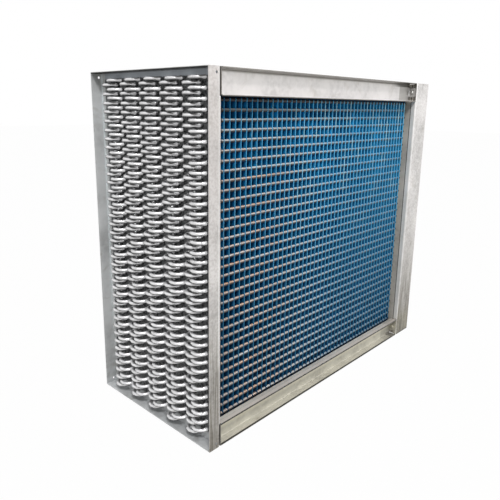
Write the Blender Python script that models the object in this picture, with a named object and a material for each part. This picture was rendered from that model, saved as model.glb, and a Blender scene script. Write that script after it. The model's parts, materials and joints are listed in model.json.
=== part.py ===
"""Finned tube heat exchanger for an air duct, in metres, +Z up, front towards -Y.

The finned pack is twenty tube rows deep. Its tubes end in return bends on the left end plate
and in two headers on the right. Rails, plates and strips of folded sheet close the frame.
"""

import math

import bmesh
import bpy
from mathutils import Vector

# Finned pack
FIN_COUNT = 48
FIN_PITCH = 0.0206
FIN_THICKNESS = 0.0003
TUBE_ROWS = 20
ROW_PITCH = 0.022
TUBE_LEVELS = 38
LEVEL_PITCH = 0.0254
TUBE_DIAMETER = 0.0095
FIRST_FIN_GAP = 0.028
LAST_FIN_GAP = 0.0119
EDGE_TO_ROW = 0.0063
CARRIER_LEVELS = (9, 28)
CARRIER_SIDES = 4

# Sheet frame
SHEET = 0.002
FOLD_RADIUS = 0.002
FOLD_STEPS = 2
LEFT_FLANGE = 0.0375
RIGHT_FLANGE = 0.094
PACK_MARGIN = 0.0174
RAIL_DEPTH = 0.030
RAIL_HEIGHT = 0.067
RAIL_HEM = 0.014
RAIL_END_GAP = 0.0055
TAB_HEIGHT = 0.034
TAB_CORNER = 0.006
FIN_CLEARANCE = 0.0067
PLATE_LEG = 0.013
STRIP_WIDTH = 0.014
HOLE_DIAMETER = 0.007
HOLE_FROM_WEB = 0.012
HOLE_FROM_EDGE = 0.014

# Return bends on the left end plate
BEND_STRAIGHT = 0.008
BEND_STEPS = 3
BEND_SPAN_ROWS = 2
BEND_SINK = 0.0008
BEND_SWELL = 1.07
RIDGE_BACK = 0.6

# Headers and connections
HEADER_DIAMETER = 0.060
HEADER_REACH = 0.058
HEADER_END_GAP = 0.008
HEADER_CHAMFER = 0.006
HEADER_SIDES = 16
CONNECTION_DIAMETER = 0.048
CONNECTION_BORE = 0.041
CONNECTION_LENGTH = 0.045
CONNECTION_HEIGHT = 0.110
BRACKET_WIDTH = 0.052
CRADLE_STEPS = 2
BRACKET_LEVELS = (8, 29)
PLUG_DIAMETER = 0.021
PLUG_NUT = 0.030
PLUG_HEIGHT = 0.045
PLUG_LENGTH = 0.024
PLUG_NUT_LENGTH = 0.010
NUT_SIDES = 6

# Screws in the rail tabs
SCREW_DIAMETER = 0.006
SCREW_HEAD_DIAMETER = 0.012
SCREW_HEAD_HEIGHT = 0.004
SCREW_CROWN = 0.6
SCREW_SIDES = 8
SCREW_HOLE_PLAY = 0.0006

# Gap between pieces that touch
SEAT = 0.0003

# Sizes that follow from the ones above
PACK_DEPTH = (TUBE_ROWS - 1) * ROW_PITCH + 2 * EDGE_TO_ROW
PACK_HEIGHT = TUBE_LEVELS * LEVEL_PITCH
FIN_SPAN = (FIN_COUNT - 1) * FIN_PITCH
INNER_WIDTH = FIRST_FIN_GAP + FIN_SPAN + LAST_FIN_GAP
RECESS = RAIL_DEPTH + FIN_CLEARANCE
DEPTH = PACK_DEPTH + 2 * RECESS
HEIGHT = PACK_HEIGHT + 2 * PACK_MARGIN
CASING_WIDTH = LEFT_FLANGE + INNER_WIDTH + RIGHT_FLANGE
OVERALL_WIDTH = CASING_WIDTH + CONNECTION_LENGTH

# Planes across the part, from left to right and from front to back
LEFT_EDGE = -OVERALL_WIDTH / 2
LEFT_WEB = LEFT_EDGE + LEFT_FLANGE
RIGHT_WEB = LEFT_WEB + INNER_WIDTH
RIGHT_EDGE = RIGHT_WEB + RIGHT_FLANGE
FRONT = -DEPTH / 2
BACK = DEPTH / 2
PACK_FRONT = FRONT + RECESS
PACK_BOTTOM = PACK_MARGIN
HEADER_X = RIGHT_WEB + HEADER_REACH


def clear_scene():
    for thing in list(bpy.data.objects):
        bpy.data.objects.remove(thing, do_unlink=True)


def make_material(name, colour, roughness, metallic):
    material = bpy.data.materials.new(name)
    material.use_nodes = True
    shader = material.node_tree.nodes["Principled BSDF"]
    shader.inputs["Base Color"].default_value = (*colour, 1.0)
    shader.inputs["Roughness"].default_value = roughness
    shader.inputs["Metallic"].default_value = metallic
    return material


def make_object(name, bm, material, hidden=False):
    bmesh.ops.recalc_face_normals(bm, faces=bm.faces)
    mesh = bpy.data.meshes.new(name)
    bm.to_mesh(mesh)
    bm.free()
    obj = bpy.data.objects.new(name, mesh)
    bpy.context.scene.collection.objects.link(obj)
    if material:
        mesh.materials.append(material)
    if hidden:
        obj.hide_render = True
        obj.display_type = "WIRE"
    return obj


def add_boolean(obj, other, operation):
    modifier = obj.modifiers.new(operation.lower(), "BOOLEAN")
    modifier.operation = operation
    modifier.solver = "EXACT"
    modifier.object = other


def row_y(row):
    """Depth of a tube row, row 0 at the front."""
    return PACK_FRONT + EDGE_TO_ROW + row * ROW_PITCH


def level_z(level, row):
    """Height of a tube: odd rows lie half a pitch below even ones, level 0 at the top."""
    stagger = 0.25 if row % 2 == 0 else 0.75
    return PACK_BOTTOM + PACK_HEIGHT - (level + stagger) * LEVEL_PITCH


def rounded_outline(corners):
    """Closed outline in two axes; each corner is (a, b, radius of its fold)."""
    points = []
    for index, (a, b, radius) in enumerate(corners):
        here = Vector((a, b))
        if radius <= 0:
            points.append(here)
            continue
        before = (Vector(corners[index - 1][:2]) - here).normalized()
        after = (Vector(corners[(index + 1) % len(corners)][:2]) - here).normalized()
        centre = here + (before + after) * radius
        start = here + before * radius - centre
        end = here + after * radius - centre
        for step in range(FOLD_STEPS + 1):
            angle = math.pi / 2 * step / FOLD_STEPS
            points.append(centre + start * math.cos(angle) + end * math.sin(angle))
    return points


def extruded_outline(points, to_world, extrusion):
    """Solid with the outline's points, placed by to_world(a, b), pulled along extrusion."""
    bm = bmesh.new()
    face = bm.faces.new([bm.verts.new(to_world(a, b)) for a, b in points])
    result = bmesh.ops.extrude_face_region(bm, geom=[face])
    moved = [item for item in result["geom"] if isinstance(item, bmesh.types.BMVert)]
    bmesh.ops.translate(bm, verts=moved, vec=extrusion)
    return bm


def box(low, high):
    bm = bmesh.new()
    bmesh.ops.create_cube(bm, size=1.0)
    size = Vector(high) - Vector(low)
    bmesh.ops.scale(bm, verts=bm.verts, vec=size)
    bmesh.ops.translate(bm, verts=bm.verts, vec=(Vector(low) + Vector(high)) / 2)
    return bm


def cylinder(start, end, diameter, sides):
    bm = bmesh.new()
    start = Vector(start)
    axis = Vector(end) - start
    bmesh.ops.create_cone(
        bm, cap_ends=True, segments=sides,
        radius1=diameter / 2, radius2=diameter / 2, depth=axis.length,
    )
    facing = Vector((0, 0, 1)).rotation_difference(axis).to_matrix()
    bmesh.ops.rotate(bm, verts=bm.verts, cent=(0, 0, 0), matrix=facing)
    bmesh.ops.translate(bm, verts=bm.verts, vec=start + axis / 2)
    return bm


def return_bends():
    """All bends of the left end as three-sided tubes, their ridge along the outside."""
    bm = bmesh.new()
    radius = TUBE_DIAMETER / 2
    web_face = LEFT_WEB - SHEET
    half_span = BEND_SPAN_ROWS * ROW_PITCH / 2
    column_rows = 2 * BEND_SPAN_ROWS
    for level in range(TUBE_LEVELS):
        for column in range(TUBE_ROWS // column_rows):
            for offset in range(BEND_SPAN_ROWS):
                row = column * column_rows + offset
                z = level_z(level, row)
                centre_y = row_y(row) + half_span
                add_bend(bm, web_face, centre_y, z, half_span, radius)
    return bm


def add_bend(bm, web_face, centre_y, z, half_span, radius):
    """One bend along a stretched half circle; its rings lie in the mitre planes of the path."""
    reach = (BEND_STRAIGHT + half_span) * BEND_SWELL
    spread = half_span * BEND_SWELL
    path = [Vector((BEND_SINK, -half_span))]
    for step in range(1, BEND_STEPS):
        angle = math.pi * step / BEND_STEPS
        path.append(Vector((-reach * math.sin(angle), -spread * math.cos(angle))))
    path.append(Vector((BEND_SINK, half_span)))
    directions = [(end - start).normalized() for start, end in zip(path, path[1:])]
    normals = [Vector((-direction.y, direction.x)) for direction in directions]
    mitres = [Vector((0.0, 1.0 / normals[0].y))]
    for before, after in zip(normals, normals[1:]):
        mitres.append((before + after) / (1.0 + before.dot(after)))
    mitres.append(Vector((0.0, 1.0 / normals[-1].y)))
    back = radius * RIDGE_BACK
    rings = []
    for point, mitre in zip(path, mitres):
        ring = []
        for outwards, height in ((radius, 0.0), (-back, radius), (-back, -radius)):
            place = point + mitre * outwards
            ring.append(bm.verts.new((web_face + place.x, centre_y + place.y, z + height)))
        rings.append(ring)
    for first, second in zip(rings, rings[1:]):
        for corner in range(3):
            following = (corner + 1) % 3
            bm.faces.new((first[corner], first[following], second[following], second[corner]))
    bm.faces.new(rings[0])
    bm.faces.new(reversed(rings[-1]))


def end_tray(web, outwards, flange):
    """Folded end plate: a web with four flanges that point outwards."""
    edge = web + outwards * flange
    bm = box((min(web, edge), FRONT, 0.0), (max(web, edge), BACK, HEIGHT))
    open_side = [face for face in bm.faces if abs(face.calc_center_median().x - edge) < SHEET / 2]
    bmesh.ops.inset_region(bm, faces=open_side, thickness=SHEET, use_even_offset=True)
    result = bmesh.ops.extrude_face_region(bm, geom=open_side)
    floor = [item for item in result["geom"] if isinstance(item, bmesh.types.BMVert)]
    bmesh.ops.translate(bm, verts=floor, vec=(-outwards * (flange - SHEET), 0, 0))
    bmesh.ops.delete(bm, geom=open_side, context="FACES_ONLY")
    folds = [
        edge_line for edge_line in bm.edges
        if all(abs(vert.co.x - web) < SHEET / 2 for vert in edge_line.verts)
    ]
    bmesh.ops.bevel(
        bm, geom=folds, offset=FOLD_RADIUS + SHEET, offset_type="OFFSET",
        affect="EDGES", segments=FOLD_STEPS, profile=0.5, material=-1,
    )
    return bm


def flange_hole_cutters(name, web, outwards):
    x = web + outwards * HOLE_FROM_WEB
    cutters = []
    for label, z in (("low", HOLE_FROM_EDGE), ("high", HEIGHT - HOLE_FROM_EDGE)):
        for side, near, far in (("front", FRONT - SHEET, FRONT + 2 * SHEET),
                                ("rear", BACK - 2 * SHEET, BACK + SHEET)):
            bm = cylinder((x, near, z), (x, far, z), HOLE_DIAMETER, SCREW_SIDES)
            cutters.append(make_object(f"{name}_hole_{side}_{label}", bm, None, hidden=True))
    return cutters


def build_end_plates(sheet_metal):
    for name, web, outwards, flange in (
        ("end_plate_left", LEFT_WEB, -1, LEFT_FLANGE),
        ("end_plate_right", RIGHT_WEB, 1, RIGHT_FLANGE),
    ):
        plate = make_object(name, end_tray(web, outwards, flange), sheet_metal)
        for cutter in flange_hole_cutters(name, web, outwards):
            add_boolean(plate, cutter, "DIFFERENCE")
        if outwards < 0:
            bends = make_object("return_bend_shapes", return_bends(), None, hidden=True)
            add_boolean(plate, bends, "UNION")


def build_fin_pack(fin_metal):
    """Fins threaded on two tubes that reach from one end plate to the other."""
    first = LEFT_WEB + FIRST_FIN_GAP
    pack = make_object(
        "fin_pack",
        box((first - FIN_THICKNESS / 2, PACK_FRONT, PACK_BOTTOM),
            (first + FIN_THICKNESS / 2, PACK_FRONT + PACK_DEPTH, PACK_BOTTOM + PACK_HEIGHT)),
        fin_metal,
    )
    copies = pack.modifiers.new("fins", "ARRAY")
    copies.count = FIN_COUNT
    copies.use_relative_offset = False
    copies.use_constant_offset = True
    copies.constant_offset_displace = (FIN_PITCH, 0, 0)
    copies.use_merge_vertices = False
    for level, row in zip(CARRIER_LEVELS, (0, TUBE_ROWS - 1)):
        y = row_y(row)
        z = level_z(level, row)
        bm = cylinder((LEFT_WEB + SEAT, y, z), (RIGHT_WEB - SEAT, y, z), TUBE_DIAMETER, CARRIER_SIDES)
        tube = make_object(f"carrier_tube_{level}", bm, None, hidden=True)
        add_boolean(pack, tube, "UNION")


def rail_profile():
    """Channel section, depth from its open side and height from its outer leg."""
    fold = FOLD_RADIUS
    return rounded_outline([
        (0.0, 0.0, 0.0),
        (RAIL_DEPTH, 0.0, fold + SHEET),
        (RAIL_DEPTH, RAIL_HEIGHT - SHEET, fold + SHEET),
        (RAIL_HEM, RAIL_HEIGHT - SHEET, 0.0),
        (RAIL_HEM, RAIL_HEIGHT, 0.0),
        (0.0, RAIL_HEIGHT, 0.0),
        (0.0, RAIL_HEIGHT - 2 * SHEET, 0.0),
        (RAIL_DEPTH - SHEET, RAIL_HEIGHT - 2 * SHEET, fold),
        (RAIL_DEPTH - SHEET, SHEET, fold),
        (0.0, SHEET, 0.0),
    ])


def tab_profile():
    """Tab folded forward from the end of a rail's web, rounded at its free corners."""
    middle = RAIL_HEIGHT / 2
    low = middle - TAB_HEIGHT / 2
    high = middle + TAB_HEIGHT / 2
    return rounded_outline([
        (FOLD_RADIUS, low, TAB_CORNER),
        (RAIL_DEPTH - SHEET / 2, low, 0.0),
        (RAIL_DEPTH - SHEET / 2, high, 0.0),
        (FOLD_RADIUS, high, TAB_CORNER),
    ])


def section_plane(x, face, inwards, edge, upwards):
    """Places a section's depth and height in the upright plane at x."""
    return lambda depth, height: (x, face + inwards * depth, edge + upwards * height)


def build_rails(sheet_metal, screw_metal):
    left = LEFT_WEB + RAIL_END_GAP
    right = RIGHT_WEB - RAIL_END_GAP
    for side, face, inwards in (("front", FRONT, 1), ("rear", BACK, -1)):
        for level, edge, upwards in (("bottom", 0.0, 1), ("top", HEIGHT, -1)):
            name = f"{level}_rail_{side}"
            section = section_plane(left, face, inwards, edge, upwards)
            bm = extruded_outline(rail_profile(), section, (right - left, 0, 0))
            rail = make_object(name, bm, sheet_metal)
            screw_y = face + inwards * RAIL_DEPTH / 2
            screw_z = edge + upwards * RAIL_HEIGHT / 2
            for end, tab_x, outer_x, web in (
                ("left", left, left, LEFT_WEB), ("right", right - SHEET, right, RIGHT_WEB)
            ):
                section = section_plane(tab_x, face, inwards, edge, upwards)
                tab = extruded_outline(tab_profile(), section, (SHEET, 0, 0))
                add_boolean(rail, make_object(f"{name}_tab_{end}", tab, None, hidden=True), "UNION")
                outwards = -1 if end == "left" else 1
                hole = cylinder(
                    (outer_x - outwards * 2 * SHEET, screw_y, screw_z),
                    (outer_x + outwards * SHEET, screw_y, screw_z),
                    SCREW_DIAMETER + SCREW_HOLE_PLAY, SCREW_SIDES,
                )
                add_boolean(rail, make_object(f"{name}_hole_{end}", hole, None, hidden=True), "DIFFERENCE")
                build_screw(f"rail_screw_{level}_{side}_{end}", outer_x, outwards, screw_y, screw_z,
                            web, screw_metal)


def build_screw(name, tab_outer_x, outwards, y, z, web, metal):
    """Pan head on the tab, shank through it and up to the end plate."""
    under_head = tab_outer_x - outwards * (SHEET + SEAT)
    tip = web - outwards * SEAT
    profile = (
        (under_head - outwards * SCREW_HEAD_HEIGHT, SCREW_HEAD_DIAMETER / 2 * SCREW_CROWN),
        (under_head - outwards * SCREW_HEAD_HEIGHT * SCREW_CROWN, SCREW_HEAD_DIAMETER / 2),
        (under_head, SCREW_HEAD_DIAMETER / 2),
        (under_head, SCREW_DIAMETER / 2),
        (tip, SCREW_DIAMETER / 2),
    )
    bm = bmesh.new()
    line = [bm.verts.new((x, y, z + radius)) for x, radius in profile]
    edges = [bm.edges.new(pair) for pair in zip(line, line[1:])]
    bmesh.ops.spin(
        bm, geom=line + edges, cent=(0, y, z), axis=(1, 0, 0),
        angle=2 * math.pi, steps=SCREW_SIDES, use_merge=True, use_duplicate=False,
    )
    bmesh.ops.holes_fill(bm, edges=bm.edges, sides=0)
    make_object(name, bm, metal)


def build_plates(sheet_metal):
    """Flat covers over and under the pack, with short legs behind the rails' webs."""
    front = FRONT + RAIL_DEPTH + SEAT
    back = BACK - RAIL_DEPTH - SEAT
    fold = FOLD_RADIUS
    for name, edge, upwards in (("bottom_plate", 0.0, 1), ("top_plate", HEIGHT, -1)):
        outline = rounded_outline([
            (front, 0.0, fold + SHEET),
            (back, 0.0, fold + SHEET),
            (back, PLATE_LEG, 0.0),
            (back - SHEET, PLATE_LEG, 0.0),
            (back - SHEET, SHEET, fold),
            (front + SHEET, SHEET, fold),
            (front + SHEET, PLATE_LEG, 0.0),
            (front, PLATE_LEG, 0.0),
        ])
        start = LEFT_WEB + SEAT
        bm = extruded_outline(
            outline,
            lambda y, height: (start, y, edge + upwards * height),
            (INNER_WIDTH - 2 * SEAT, 0, 0),
        )
        make_object(name, bm, sheet_metal)


def build_strips(sheet_metal):
    """Upright strips on the inside of the end plates, between the rails."""
    low = RAIL_HEIGHT + SEAT
    high = HEIGHT - RAIL_HEIGHT - SEAT
    for end, web, inwards in (("left", LEFT_WEB, 1), ("right", RIGHT_WEB, -1)):
        near = web + inwards * SEAT
        far = near + inwards * SHEET
        for side, face, direction in (("front", FRONT, 1), ("rear", BACK, -1)):
            edge = face + direction * FOLD_RADIUS
            rear_edge = edge + direction * STRIP_WIDTH
            bm = box(
                (min(near, far), min(edge, rear_edge), low),
                (max(near, far), max(edge, rear_edge), high),
            )
            make_object(f"edge_strip_{side}_{end}", bm, sheet_metal)


def build_header(name, y, connection_z, metal):
    """Closed upright pipe with one open connection towards +X."""
    low = SHEET + HEADER_END_GAP
    high = HEIGHT - SHEET - HEADER_END_GAP
    bm = cylinder((HEADER_X, y, low), (HEADER_X, y, high), HEADER_DIAMETER, HEADER_SIDES)
    rims = [edge for edge in bm.edges if abs(edge.verts[0].co.z - edge.verts[1].co.z) < SEAT]
    bmesh.ops.bevel(
        bm, geom=rims, offset=HEADER_CHAMFER, offset_type="OFFSET",
        affect="EDGES", segments=1, profile=0.5, material=-1,
    )
    header = make_object(name, bm, metal)
    pipe = cylinder(
        (HEADER_X, y, connection_z), (RIGHT_EDGE + CONNECTION_LENGTH, y, connection_z),
        CONNECTION_DIAMETER, HEADER_SIDES,
    )
    add_boolean(header, make_object(f"{name}_pipe", pipe, None, hidden=True), "UNION")
    bore = cylinder(
        (HEADER_X, y, connection_z), (RIGHT_EDGE + CONNECTION_LENGTH + SHEET, y, connection_z),
        CONNECTION_BORE, HEADER_SIDES,
    )
    add_boolean(header, make_object(f"{name}_bore", bore, None, hidden=True), "DIFFERENCE")


def build_bracket(name, y, level, sheet_metal):
    """Flat saddle between the end plate and a header, lying between two tube levels."""
    z = level_z(level, 1) - LEVEL_PITCH / 4
    near = RIGHT_WEB + SHEET + SEAT
    radius = HEADER_DIAMETER / 2 + 2 * SEAT
    half = BRACKET_WIDTH / 2
    cradle = []
    for step in range(-CRADLE_STEPS, CRADLE_STEPS + 1):
        angle = 2 * math.pi * step / HEADER_SIDES
        cradle.append((HEADER_X - radius * math.cos(angle), y + radius * math.sin(angle)))
    far = cradle[0][0]
    points = [(far, y + half), (near, y + half), (near, y - half), (far, y - half)]
    bm = extruded_outline(points + cradle, lambda x, across: (x, across, z - SHEET / 2), (0, 0, SHEET))
    make_object(name, bm, sheet_metal)


def build_plug(name, y, z, metal):
    """Small boss with a hexagon plug on the outer side of a header."""
    start = HEADER_X + HEADER_DIAMETER / 2 + SEAT
    nut_start = start + PLUG_LENGTH - PLUG_NUT_LENGTH
    boss = cylinder((start, y, z), (nut_start + SEAT, y, z), PLUG_DIAMETER, SCREW_SIDES)
    plug = make_object(name, boss, metal)
    nut = cylinder((nut_start, y, z), (start + PLUG_LENGTH, y, z), PLUG_NUT, NUT_SIDES)
    add_boolean(plug, make_object(f"{name}_nut", nut, None, hidden=True), "UNION")


def build_headers(header_metal, sheet_metal, brass):
    return_y = (row_y(0) + row_y(1)) / 2
    supply_y = (row_y(TUBE_ROWS - 2) + row_y(TUBE_ROWS - 1)) / 2
    high = HEIGHT - CONNECTION_HEIGHT
    for label, y, connection_z in (("return", return_y, high), ("supply", supply_y, CONNECTION_HEIGHT)):
        build_header(f"{label}_header", y, connection_z, header_metal)
        build_plug(f"{label}_vent_plug", y, HEIGHT - PLUG_HEIGHT, brass)
        build_plug(f"{label}_drain_plug", y, PLUG_HEIGHT, brass)
        for position, level in zip(("upper", "lower"), BRACKET_LEVELS):
            build_bracket(f"{label}_bracket_{position}", y, level, sheet_metal)


def main():
    clear_scene()
    sheet_metal = make_material("galvanised_sheet", (0.60, 0.59, 0.56), 0.45, 0.85)
    fin_metal = make_material("blue_fin_coating", (0.02, 0.22, 0.48), 0.35, 0.4)
    header_metal = make_material("header_copper", (0.72, 0.38, 0.22), 0.35, 1.0)
    screw_metal = make_material("zinc_screw", (0.70, 0.70, 0.68), 0.3, 1.0)
    brass = make_material("plug_brass", (0.75, 0.58, 0.28), 0.3, 1.0)
    build_end_plates(sheet_metal)
    build_fin_pack(fin_metal)
    build_rails(sheet_metal, screw_metal)
    build_plates(sheet_metal)
    build_strips(sheet_metal)
    build_headers(header_metal, sheet_metal, brass)


main()
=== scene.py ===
import json
import math
import random

import bmesh
import bpy
from mathutils import Matrix, Vector


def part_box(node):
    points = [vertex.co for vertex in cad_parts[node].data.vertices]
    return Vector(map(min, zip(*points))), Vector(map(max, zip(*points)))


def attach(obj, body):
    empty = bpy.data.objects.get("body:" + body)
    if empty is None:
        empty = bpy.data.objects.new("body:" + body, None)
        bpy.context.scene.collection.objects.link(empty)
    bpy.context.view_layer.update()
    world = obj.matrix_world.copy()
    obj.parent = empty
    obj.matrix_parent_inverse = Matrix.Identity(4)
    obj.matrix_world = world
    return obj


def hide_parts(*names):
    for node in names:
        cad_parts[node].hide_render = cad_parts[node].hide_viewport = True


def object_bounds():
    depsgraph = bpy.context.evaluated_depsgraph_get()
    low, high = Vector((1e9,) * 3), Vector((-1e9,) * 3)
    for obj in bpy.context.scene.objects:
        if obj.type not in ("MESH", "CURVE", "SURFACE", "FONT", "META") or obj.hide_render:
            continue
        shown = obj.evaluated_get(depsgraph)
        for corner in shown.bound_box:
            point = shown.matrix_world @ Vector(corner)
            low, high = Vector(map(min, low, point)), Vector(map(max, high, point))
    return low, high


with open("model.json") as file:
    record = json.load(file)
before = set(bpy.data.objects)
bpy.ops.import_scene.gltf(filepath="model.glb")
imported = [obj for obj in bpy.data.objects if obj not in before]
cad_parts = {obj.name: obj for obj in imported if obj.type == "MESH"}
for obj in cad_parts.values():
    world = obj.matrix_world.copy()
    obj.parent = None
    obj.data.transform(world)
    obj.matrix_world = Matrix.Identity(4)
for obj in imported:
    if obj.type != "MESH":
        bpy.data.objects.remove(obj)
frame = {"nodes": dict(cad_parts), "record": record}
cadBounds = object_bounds()

# planes read from the frame: x of the two webs, y of the front and back
leftLow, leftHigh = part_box("end_plate_left")
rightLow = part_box("end_plate_right")[0]
packLow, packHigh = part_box("fin_pack")
casing = {
    "leftEdge": leftLow[0],
    "leftWeb": leftHigh[0],
    "rightWeb": rightLow[0],
    "front": leftLow[1],
    "back": leftHigh[1],
    "height": leftHigh[2],
    "sheet": 0.002,
    "railGap": 0.0055,
    "railHeight": 0.067,
}

pack = {
    "rows": 20,
    "levels": 38,
    "rowPitch": 0.022,
    "levelPitch": 0.0254,
    "tubeRadius": 0.00475,
    "edgeToRow": 0.0063,
    "front": packLow[1],
    "bottom": packLow[2],
    "top": packHigh[2],
}


def rowY(row):
    return pack["front"] + pack["edgeToRow"] + row * pack["rowPitch"]


def levelZ(level, row):
    stagger = 0.25 if row % 2 == 0 else 0.75  # odd rows sit half a pitch lower
    return pack["top"] - (level + stagger) * pack["levelPitch"]


# shader groups that several materials share

def newGroup(name, inputs, outputs):
    group = bpy.data.node_groups.new(name, "ShaderNodeTree")
    for label, kind, value in inputs:
        socket = group.interface.new_socket(label, in_out="INPUT", socket_type=kind)
        socket.default_value = value
    for label, kind in outputs:
        group.interface.new_socket(label, in_out="OUTPUT", socket_type=kind)
    source = group.nodes.new("NodeGroupInput")
    target = group.nodes.new("NodeGroupOutput")
    return group, source, target


def addNode(tree, kind, **settings):
    node = tree.nodes.new(kind)
    for key, value in settings.items():
        setattr(node, key, value)
    return node


def link(tree, output, socket):
    tree.links.new(output, socket)


def noiseMask(tree, vector, scale, low, high, detail=4.0, distortion=0.0):
    # 0 where the noise is below low, 1 above high
    noise = addNode(tree, "ShaderNodeTexNoise")
    noise.inputs["Scale"].default_value = scale
    noise.inputs["Detail"].default_value = detail
    noise.inputs["Distortion"].default_value = distortion
    link(tree, vector, noise.inputs["Vector"])
    ramp = addNode(tree, "ShaderNodeMapRange")
    ramp.inputs["From Min"].default_value = low
    ramp.inputs["From Max"].default_value = high
    link(tree, noise.outputs["Fac"], ramp.inputs["Value"])
    return ramp.outputs["Result"]


def stretched(tree, vector, scale):
    mapping = addNode(tree, "ShaderNodeMapping")
    mapping.inputs["Scale"].default_value = scale
    link(tree, vector, mapping.inputs["Vector"])
    return mapping.outputs["Vector"]


def axisMask(tree, vector, axis, low, high):
    # 0 at low and 1 at high along one axis; with low above high it falls instead
    split = addNode(tree, "ShaderNodeSeparateXYZ")
    link(tree, vector, split.inputs["Vector"])
    ramp = addNode(tree, "ShaderNodeMapRange", interpolation_type="SMOOTHSTEP")
    ramp.inputs["From Min"].default_value = min(low, high)
    ramp.inputs["From Max"].default_value = max(low, high)
    ramp.inputs["To Min"].default_value = 0.0 if low < high else 1.0
    ramp.inputs["To Max"].default_value = 1.0 if low < high else 0.0
    link(tree, split.outputs[axis], ramp.inputs["Value"])
    return ramp.outputs["Result"]


def bandMask(tree, vector, axis, low, high, blur=0.0006):
    # 1 between low and high along one axis, with blurred ends
    rise = axisMask(tree, vector, axis, low - blur, low + blur)
    fall = axisMask(tree, vector, axis, high + blur, high - blur)
    return product(tree, rise, fall)


def product(tree, first, second):
    node = addNode(tree, "ShaderNodeMath", operation="MULTIPLY")
    for socket, value in zip(node.inputs, (first, second)):
        if isinstance(value, float):
            socket.default_value = value
        else:
            link(tree, value, socket)
    return node.outputs["Value"]


def blend(tree, mask, first, second, mode="MIX"):
    # first where the mask is 0, second where it is 1; each a colour or a socket
    node = addNode(tree, "ShaderNodeMix", data_type="RGBA", blend_type=mode)
    if isinstance(mask, float):
        node.inputs["Factor"].default_value = mask
    else:
        link(tree, mask, node.inputs["Factor"])
    for label, value in (("A", first), ("B", second)):
        if isinstance(value, tuple):
            node.inputs[label].default_value = value
        else:
            link(tree, value, node.inputs[label])
    return node.outputs["Result"]


def layer(tree, colour, paint, *masks, mode="MIX"):
    # the paint over the colour where all the masks are 1; each a socket or a number
    mask = masks[0]
    for other in masks[1:]:
        mask = product(tree, mask, other)
    return blend(tree, mask, colour, paint, mode)


def around(place, marks):
    return [place + mark for mark in marks]


mottle = {
    "cloudScale": 9.0,
    "cloudRange": (0.34, 0.66),
    "blotchScale": 62.0,
    "blotchRange": (0.36, 0.64),
    "blotchStrength": 0.6,
    "stainScale": 23.0,
    "stainRange": (0.56, 0.78),
    "stainStrength": 0.45,
    "roughness": (0.38, 0.58),
    "waveScale": 14.0,
}


def sheetGroup():
    # handled zinc sheet: soft clouds, small blotches and a few stains
    group, source, target = newGroup(
        "zincMottle",
        [
            ("Vector", "NodeSocketVector", (0.0, 0.0, 0.0)),
            ("Light", "NodeSocketColor", (0.7, 0.69, 0.66, 1.0)),
            ("Dark", "NodeSocketColor", (0.45, 0.44, 0.41, 1.0)),
            ("Stain", "NodeSocketColor", (0.35, 0.3, 0.22, 1.0)),
        ],
        [("Color", "NodeSocketColor"), ("Roughness", "NodeSocketFloat"), ("Height", "NodeSocketFloat")],
    )
    vector = source.outputs["Vector"]
    clouds = noiseMask(group, vector, mottle["cloudScale"], *mottle["cloudRange"], detail=6.0)
    blotches = noiseMask(group, vector, mottle["blotchScale"], *mottle["blotchRange"], detail=3.0)
    stains = noiseMask(
        group, vector, mottle["stainScale"], *mottle["stainRange"], detail=6.0, distortion=0.8,
    )
    base = blend(group, clouds, source.outputs["Dark"], source.outputs["Light"])
    base = layer(group, base, source.outputs["Light"], blotches, mottle["blotchStrength"])
    base = layer(group, base, source.outputs["Stain"], stains, mottle["stainStrength"])
    link(group, base, target.inputs["Color"])
    rough = addNode(group, "ShaderNodeMapRange")
    rough.inputs["To Min"].default_value, rough.inputs["To Max"].default_value = mottle["roughness"]
    link(group, clouds, rough.inputs["Value"])
    link(group, rough.outputs["Result"], target.inputs["Roughness"])
    waves = addNode(group, "ShaderNodeTexNoise")
    waves.inputs["Scale"].default_value = mottle["waveScale"]
    waves.inputs["Detail"].default_value = 2.0
    link(group, vector, waves.inputs["Vector"])
    link(group, waves.outputs["Fac"], target.inputs["Height"])
    return group


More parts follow.
